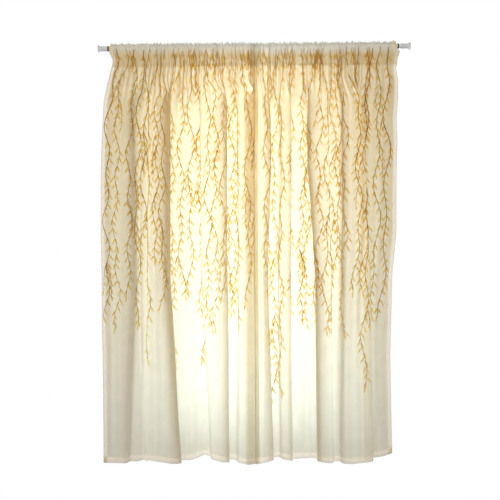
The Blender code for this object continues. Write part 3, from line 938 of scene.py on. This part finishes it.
def rounded(points, radius):
    """A profile with each corner cut by a small bevel of three points."""
    profile = []
    for before, corner, after in zip(points[-1:] + points[:-1], points, points[1:] + points[:1]):
        corner = np.array(corner)
        arms = []
        for other in (np.array(before), np.array(after)):
            arm = other - corner
            length = np.linalg.norm(arm)
            arms.append(corner + arm / length * min(radius, CORNER_SHARE * length))
        middle = 0.25 * arms[0] + 0.5 * corner + 0.25 * arms[1]
        profile += [tuple(arms[0]), tuple(middle), tuple(arms[1])]
    return profile


def ring_profile(low, high, outside, inside, rim):
    """The profile of a tube or collar from low to high along the rod, with rounded rims."""
    return rounded([(low, outside), (high, outside), (high, inside), (low, inside)], rim)


def cap_profile(tube_radius):
    """An end cap: a soft pad on its flange, a flare, a grooved sleeve and the tube's socket."""
    flange = [(point.along, FLANGE_RADIUS - point.inset) for point in FLANGE_EDGE]
    flare = []
    for step in range(FLARE_STEPS + 1):
        share = step / FLARE_STEPS
        along = FLANGE_THICKNESS + (CAP_NECK - FLANGE_THICKNESS) * share
        flared = (FLANGE_RADIUS - FLANGE_STEP - CAP_RADIUS) * (1 - share) ** FLARE_CURVE
        flare.append((along, CAP_RADIUS + flared))
    groove = [(GROOVE_CENTRE - GROOVE_MOUTH, CAP_RADIUS),
              (GROOVE_CENTRE - GROOVE_BOTTOM, CAP_RADIUS - GROOVE_DEPTH),
              (GROOVE_CENTRE + GROOVE_BOTTOM, CAP_RADIUS - GROOVE_DEPTH),
              (GROOVE_CENTRE + GROOVE_MOUTH, CAP_RADIUS)]
    socket = tube_radius + CLEARANCE
    end = [(CAP_LENGTH - CAP_RIM, CAP_RADIUS), (CAP_LENGTH, CAP_RADIUS - CAP_RIM),
           (CAP_LENGTH, socket), (CAP_FLOOR, socket), (CAP_FLOOR, ON_AXIS)]
    return [(0.0, ON_AXIS)] + flange + flare + groove + end


def add_rod(steel, plastic, rubber):
    """The two tubes with rounded rims, the end caps and the collars, in place of the plain solids."""
    start = CAP_FLOOR + CLEARANCE
    tubes = (("rod_outer_tube", OUTER_TUBE_RADIUS, start, OUTER_TUBE_END),
             ("rod_inner_tube", INNER_TUBE_RADIUS, OUTER_TUBE_END - TUBE_OVERLAP, ROD_LENGTH - start))
    caps = (("end_cap_left", OUTER_TUBE_RADIUS, 0.0, True),
            ("end_cap_right", INNER_TUBE_RADIUS, ROD_LENGTH, False))
    collars = (("collar_left", OUTER_TUBE_RADIUS, CAP_LENGTH + CLEARANCE),
               ("collar_right", INNER_TUBE_RADIUS, RIGHT_COLLAR_END - COLLAR_LENGTH))
    pieces = []
    for node, radius, low, high in tubes:
        ring = ring_profile(low, high, radius, radius - TUBE_THICKNESS, TUBE_RIM)
        pieces.append((node, "tube", add_turned(f"fine_{node}", ring, 0.0, True, steel)))
    for node, radius, place, faces_right in caps:
        cap = add_turned(f"fine_{node}", cap_profile(radius), place, faces_right, plastic, closed=False)
        pieces.append((node, "cap", cap))
    for node, radius, low in collars:
        ring = ring_profile(low, low + COLLAR_LENGTH, COLLAR_RADIUS, radius + CLEARANCE, COLLAR_RIM)
        pieces.append((node, "collar", add_turned(f"fine_{node}", ring, 0.0, True, rubber)))
    for node, slot, piece in pieces:
        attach(piece, BODY)
        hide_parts(node)


def clear_nodes(tree):
    """Empties a node tree of the nodes that it starts with."""
    for node in list(tree.nodes):
        tree.nodes.remove(node)
    return tree


def new_material(name):
    """A material and its empty node tree."""
    material = bpy.data.materials.new(name)
    material.use_nodes = True
    return material, clear_nodes(material.node_tree)


def add_node(tree, kind, inputs=None, **settings):
    """Adds a node with its settings. An input gets a value, or a link where it is given a socket."""
    node = tree.nodes.new(kind)
    for key, value in settings.items():
        setattr(node, key, value)
    for key, value in (inputs or {}).items():
        if isinstance(value, bpy.types.NodeSocket):
            tree.links.new(value, node.inputs[key])
        else:
            node.inputs[key].default_value = value
    return node


def add_math(tree, operation, *values):
    """The result of one sum on values or sockets."""
    return add_node(tree, "ShaderNodeMath", dict(enumerate(values)), operation=operation).outputs[0]


def colour(hex_colour):
    """A hex colour as a socket takes it."""
    return (*linear(hex_colour), 1.0)


def add_ramp(tree, factor, stops):
    """A colour ramp through two or more stops."""
    node = add_node(tree, "ShaderNodeValToRGB", {"Fac": factor})
    elements = node.color_ramp.elements
    for i, stop in ((0, stops[0]), (1, stops[-1])):
        elements[i].position = stop.position
        elements[i].color = colour(stop.colour)
    for stop in stops[1:-1]:
        elements.new(stop.position).color = colour(stop.colour)
    return node.outputs["Color"]


def add_shading(tree, noise, shades, base):
    """The base colour, darker and lighter by the noise between two shades."""
    shade = add_node(tree, "ShaderNodeMapRange",
                     {"Value": noise.outputs["Fac"], "To Min": shades[0], "To Max": shades[1]})
    shaded = add_node(tree, "ShaderNodeMix", {0: 1.0, 6: base, 7: shade.outputs["Result"]},
                      data_type="RGBA", blend_type="MULTIPLY")
    return shaded.outputs[2]


def add_hem_mask(tree, place, panel):
    """1 where the bottom and outer hems lie double, and 0 on the rest of the cloth."""
    shift = SIDE_TURN / 2 if panel.outer == "left_outer" else -SIDE_TURN / 2
    clear_of_side = add_math(tree, "COMPARE", place.outputs["X"], FLAT_WIDTH / 2 + shift,
                             FLAT_WIDTH / 2 - SIDE_TURN / 2)
    above_hem = add_math(tree, "GREATER_THAN", place.outputs["Y"], 2.0 * HEM_TURN)
    single = add_math(tree, "MULTIPLY", clear_of_side, above_hem)
    return add_math(tree, "SUBTRACT", 1.0, single)


def add_weave(tree, flat):
    """The plain weave as fine ribs across and down the cloth."""
    ribs = [add_node(tree, "ShaderNodeTexWave", {"Vector": flat, "Scale": WEAVE_SCALE, "Distortion": 0.0},
                     bands_direction=way) for way in ("X", "Y")]
    weave = add_math(tree, "ADD", ribs[0].outputs["Fac"], ribs[1].outputs["Fac"])
    bump = add_node(tree, "ShaderNodeBump",
                    {"Height": weave, "Strength": WEAVE_BUMP, "Distance": WEAVE_DEPTH})
    return bump.outputs["Normal"]


def add_thin_shader(tree, glow_share, inputs):
    """Cloth or ink that is partly see-through and glows with the light from its other side."""
    shader = add_node(tree, "ShaderNodeBsdfPrincipled", {"Specular IOR Level": CLOTH_SPECULAR, **inputs})
    glow = add_node(tree, "ShaderNodeBsdfTranslucent", {"Color": inputs["Base Color"]})
    thin = add_node(tree, "ShaderNodeMixShader",
                    {"Fac": glow_share, 1: shader.outputs[0], 2: glow.outputs[0]})
    return thin.outputs[0]


def make_voile(panel, length):
    """Polyester voile, plain woven from fine twisted yarn: thin and see-through, so light from
    behind glows in it and each further layer makes it denser. Its cream ground grows warmer up the
    cloth with painted warm light, strongest high on the cloth and fading downward; the unprinted
    heading above it is left a plain pale beige. The doubled hems carry painted light, a paler colour."""
    material, tree = new_material(f"ivory polyester voile {panel.name}")
    flat = add_node(tree, "ShaderNodeUVMap", uv_map="flat").outputs["UV"]
    place = add_node(tree, "ShaderNodeSeparateXYZ", {"Vector": flat})
    share = add_node(tree, "ShaderNodeMapRange",
                     {"Value": place.outputs["Y"], "From Min": 0.0, "From Max": length})
    slub = add_node(tree, "ShaderNodeTexNoise", {"Vector": flat, "Scale": SLUB_SCALE, "Detail": 3.0},
                    noise_dimensions="2D")
    # The ground with its painted warm light, mottled by the slubs
    tint = add_shading(tree, slub, SLUB_SHADES, add_ramp(tree, share.outputs["Result"], GROUND_AND_PAINTED_LIGHT))
    double = add_hem_mask(tree, place, panel)
    # Painted light: the doubled hems are painted paler than the rest of the cloth
    paler = add_node(tree, "ShaderNodeMix", {0: double, 6: tint, 7: colour(HEM_PAINTED_LIGHT)},
                     data_type="RGBA")
    thin = add_thin_shader(tree, VOILE_GLOW,
                           {"Base Color": paler.outputs[2], "Normal": add_weave(tree, flat),
                            "Roughness": VOILE_ROUGHNESS, "Alpha": VOILE_ALPHA})
    clear = add_node(tree, "ShaderNodeBsdfTransparent")
    clearness = add_math(tree, "MULTIPLY", double, HEM_CLEARNESS)
    voile = add_node(tree, "ShaderNodeMixShader", {0: clearness, 1: thin, 2: clear.outputs[0]})
    add_node(tree, "ShaderNodeOutputMaterial", {"Surface": voile.outputs[0]})
    return material


def make_print(name, stops, alpha):
    """Pigment printed on voile: it soaks through, so it shows on both faces and glows a little. It
    lies thicker and thinner on the yarns, which mottles it, and each leaf and stem has its tone."""
    material, tree = new_material(name)
    tone = add_node(tree, "ShaderNodeAttribute", attribute_name="tone")
    place = add_node(tree, "ShaderNodeTexCoord")
    mottle = add_node(tree, "ShaderNodeTexNoise",
                      {"Vector": place.outputs["Object"], "Scale": INK_MOTTLE, "Detail": 2.0})
    inked = add_shading(tree, mottle, INK_SHADES, add_ramp(tree, tone.outputs["Fac"], stops))
    thin = add_thin_shader(tree, INK_GLOW, {"Base Color": inked, "Roughness": INK_ROUGHNESS, "Alpha": alpha})
    add_node(tree, "ShaderNodeOutputMaterial", {"Surface": thin})
    return material


def make_hard(name, hex_colour, roughness, grain_scale, bump_strength):
    """A surface of one colour, with a faint mottle that keeps it from looking flat and a grain that
    breaks its gloss."""
    material, tree = new_material(name)
    place = add_node(tree, "ShaderNodeTexCoord")
    grain = add_node(tree, "ShaderNodeTexNoise",
                     {"Vector": place.outputs["Object"], "Scale": grain_scale, "Detail": 4.0})
    bump = add_node(tree, "ShaderNodeBump",
                    {"Height": grain.outputs["Fac"], "Strength": bump_strength,
                     "Distance": HARD_GRAIN_DEPTH})
    shader = add_node(tree, "ShaderNodeBsdfPrincipled",
                      {"Base Color": add_shading(tree, grain, HARD_SHADES, colour(hex_colour)),
                       "Normal": bump.outputs["Normal"], "Roughness": roughness})
    add_node(tree, "ShaderNodeOutputMaterial", {"Surface": shader.outputs[0]})
    return material


def make_hard_materials():
    """The rod's and the sewing's materials."""
    # Enamelled by spraying: a soft gloss with broad, hardly visible waves
    steel = make_hard("white painted steel", "#e8ebf2", roughness=0.35, grain_scale=60.0, bump_strength=0.05)
    # Injection moulded: a satin white with its mould's fine grain
    plastic = make_hard("white moulded plastic", "#cdd3de", roughness=0.45, grain_scale=400.0,
                        bump_strength=0.10)
    # Moulded rubber: dull and dark, with a grain that catches little light
    rubber = make_hard("dark grey rubber", "#55534f", roughness=0.70, grain_scale=500.0, bump_strength=0.20)
    # Spun polyester: a dull ivory, finely twisted
    thread = make_hard("ivory polyester thread", "#ece4cc", roughness=0.70, grain_scale=900.0,
                       bump_strength=0.10)
    return steel, plastic, rubber, thread


def add_stage():
    """A plain pale floor under the curtains; it runs out into the pale studio all round."""
    bm = bmesh.new()
    bmesh.ops.create_grid(bm, x_segments=1, y_segments=1, size=FLOOR_REACH)
    bmesh.ops.translate(bm, verts=bm.verts, vec=(CAMERA_ALONG, 0.0, FLOOR_HEIGHT))
    material, tree = new_material("pale floor")
    glow = add_node(tree, "ShaderNodeEmission", {"Color": WHITE, "Strength": 1.0})
    add_node(tree, "ShaderNodeOutputMaterial", {"Surface": glow.outputs[0]})
    floor = finish_mesh(bm, "floor", material)
    floor.visible_diffuse = False
    floor.visible_glossy = False
    floor.visible_transmission = False
    floor.visible_shadow = False


def add_studio():
    """The studio all round: pale to look at, but a softer light on the cloth."""
    world = bpy.data.worlds.new("studio")
    bpy.context.scene.world = world
    world.use_nodes = True
    tree = clear_nodes(world.node_tree)
    seen = add_node(tree, "ShaderNodeLightPath").outputs["Is Camera Ray"]
    light = add_node(tree, "ShaderNodeBackground", {"Color": WHITE, "Strength": STUDIO_LIGHT})
    pale = add_node(tree, "ShaderNodeBackground", {"Color": WHITE, "Strength": STUDIO_BACKGROUND})
    both = add_node(tree, "ShaderNodeMixShader", {0: seen, 1: light.outputs[0], 2: pale.outputs[0]})
    add_node(tree, "ShaderNodeOutputWorld", {"Surface": both.outputs[0]})


def add_lamp(lamp):
    """A soft box at its place, turned to what it aims at and not seen itself."""
    data = bpy.data.lights.new(lamp.name, "AREA")
    data.shape = "RECTANGLE"
    data.size = lamp.size[0]
    data.size_y = lamp.size[1]
    data.energy = lamp.power
    data.color = lamp.tint
    box = bpy.data.objects.new(lamp.name, data)
    box.location = lamp.place
    direction = np.array(lamp.aim) - np.array(lamp.place)
    box.rotation_euler = (math.atan2(math.hypot(direction[0], direction[1]), -direction[2]), 0,
                          math.atan2(direction[1], direction[0]) - math.pi / 2)
    box.visible_camera = False
    bpy.context.scene.collection.objects.link(box)


def add_camera():
    """The camera, straight in front of the curtains' middle and turned a little."""
    data = bpy.data.cameras.new("camera")
    data.sensor_width = SENSOR_WIDTH
    data.lens = SENSOR_WIDTH * CAMERA_DISTANCE / PICTURE_WIDTH
    camera = bpy.data.objects.new("camera", data)
    camera.location = (CAMERA_ALONG, -CAMERA_DISTANCE, CAMERA_HEIGHT)
    camera.rotation_euler = (math.pi / 2, CAMERA_ROLL, 0.0)
    bpy.context.scene.collection.objects.link(camera)
    bpy.context.scene.camera = camera


def dress_panel(panel, leaf_ink, stem_ink, thread):
    """A panel's voile with its print and stitches, in place of the panel's plain solid."""
    surface = surface_of(panel)
    length = surface.lengths[-1]
    cloth = add_cloth(surface, make_voile(panel, length))
    leaves, stems = add_print(surface, leaf_ink, stem_ink)
    stitches = add_stitches(surface, thread)
    for piece in (cloth, leaves, stems, stitches):
        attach(piece, BODY)
    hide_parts(f"panel_{panel.name}")


def main():
    """Builds the picture's stage, the rod and the two panels."""
    bpy.context.scene.view_settings.view_transform = "Standard"
    add_camera()
    add_studio()
    for lamp in LAMPS:
        add_lamp(lamp)
    add_stage()
    leaf_ink = make_print("yellow leaf pigment", LEAF_INK, LEAF_ALPHA)
    stem_ink = make_print("brown stem pigment", STEM_INK, STEM_ALPHA)
    steel, plastic, rubber, thread = make_hard_materials()
    add_rod(steel, plastic, rubber)
    for panel in PANELS:
        dress_panel(panel, leaf_ink, stem_ink, thread)


main()
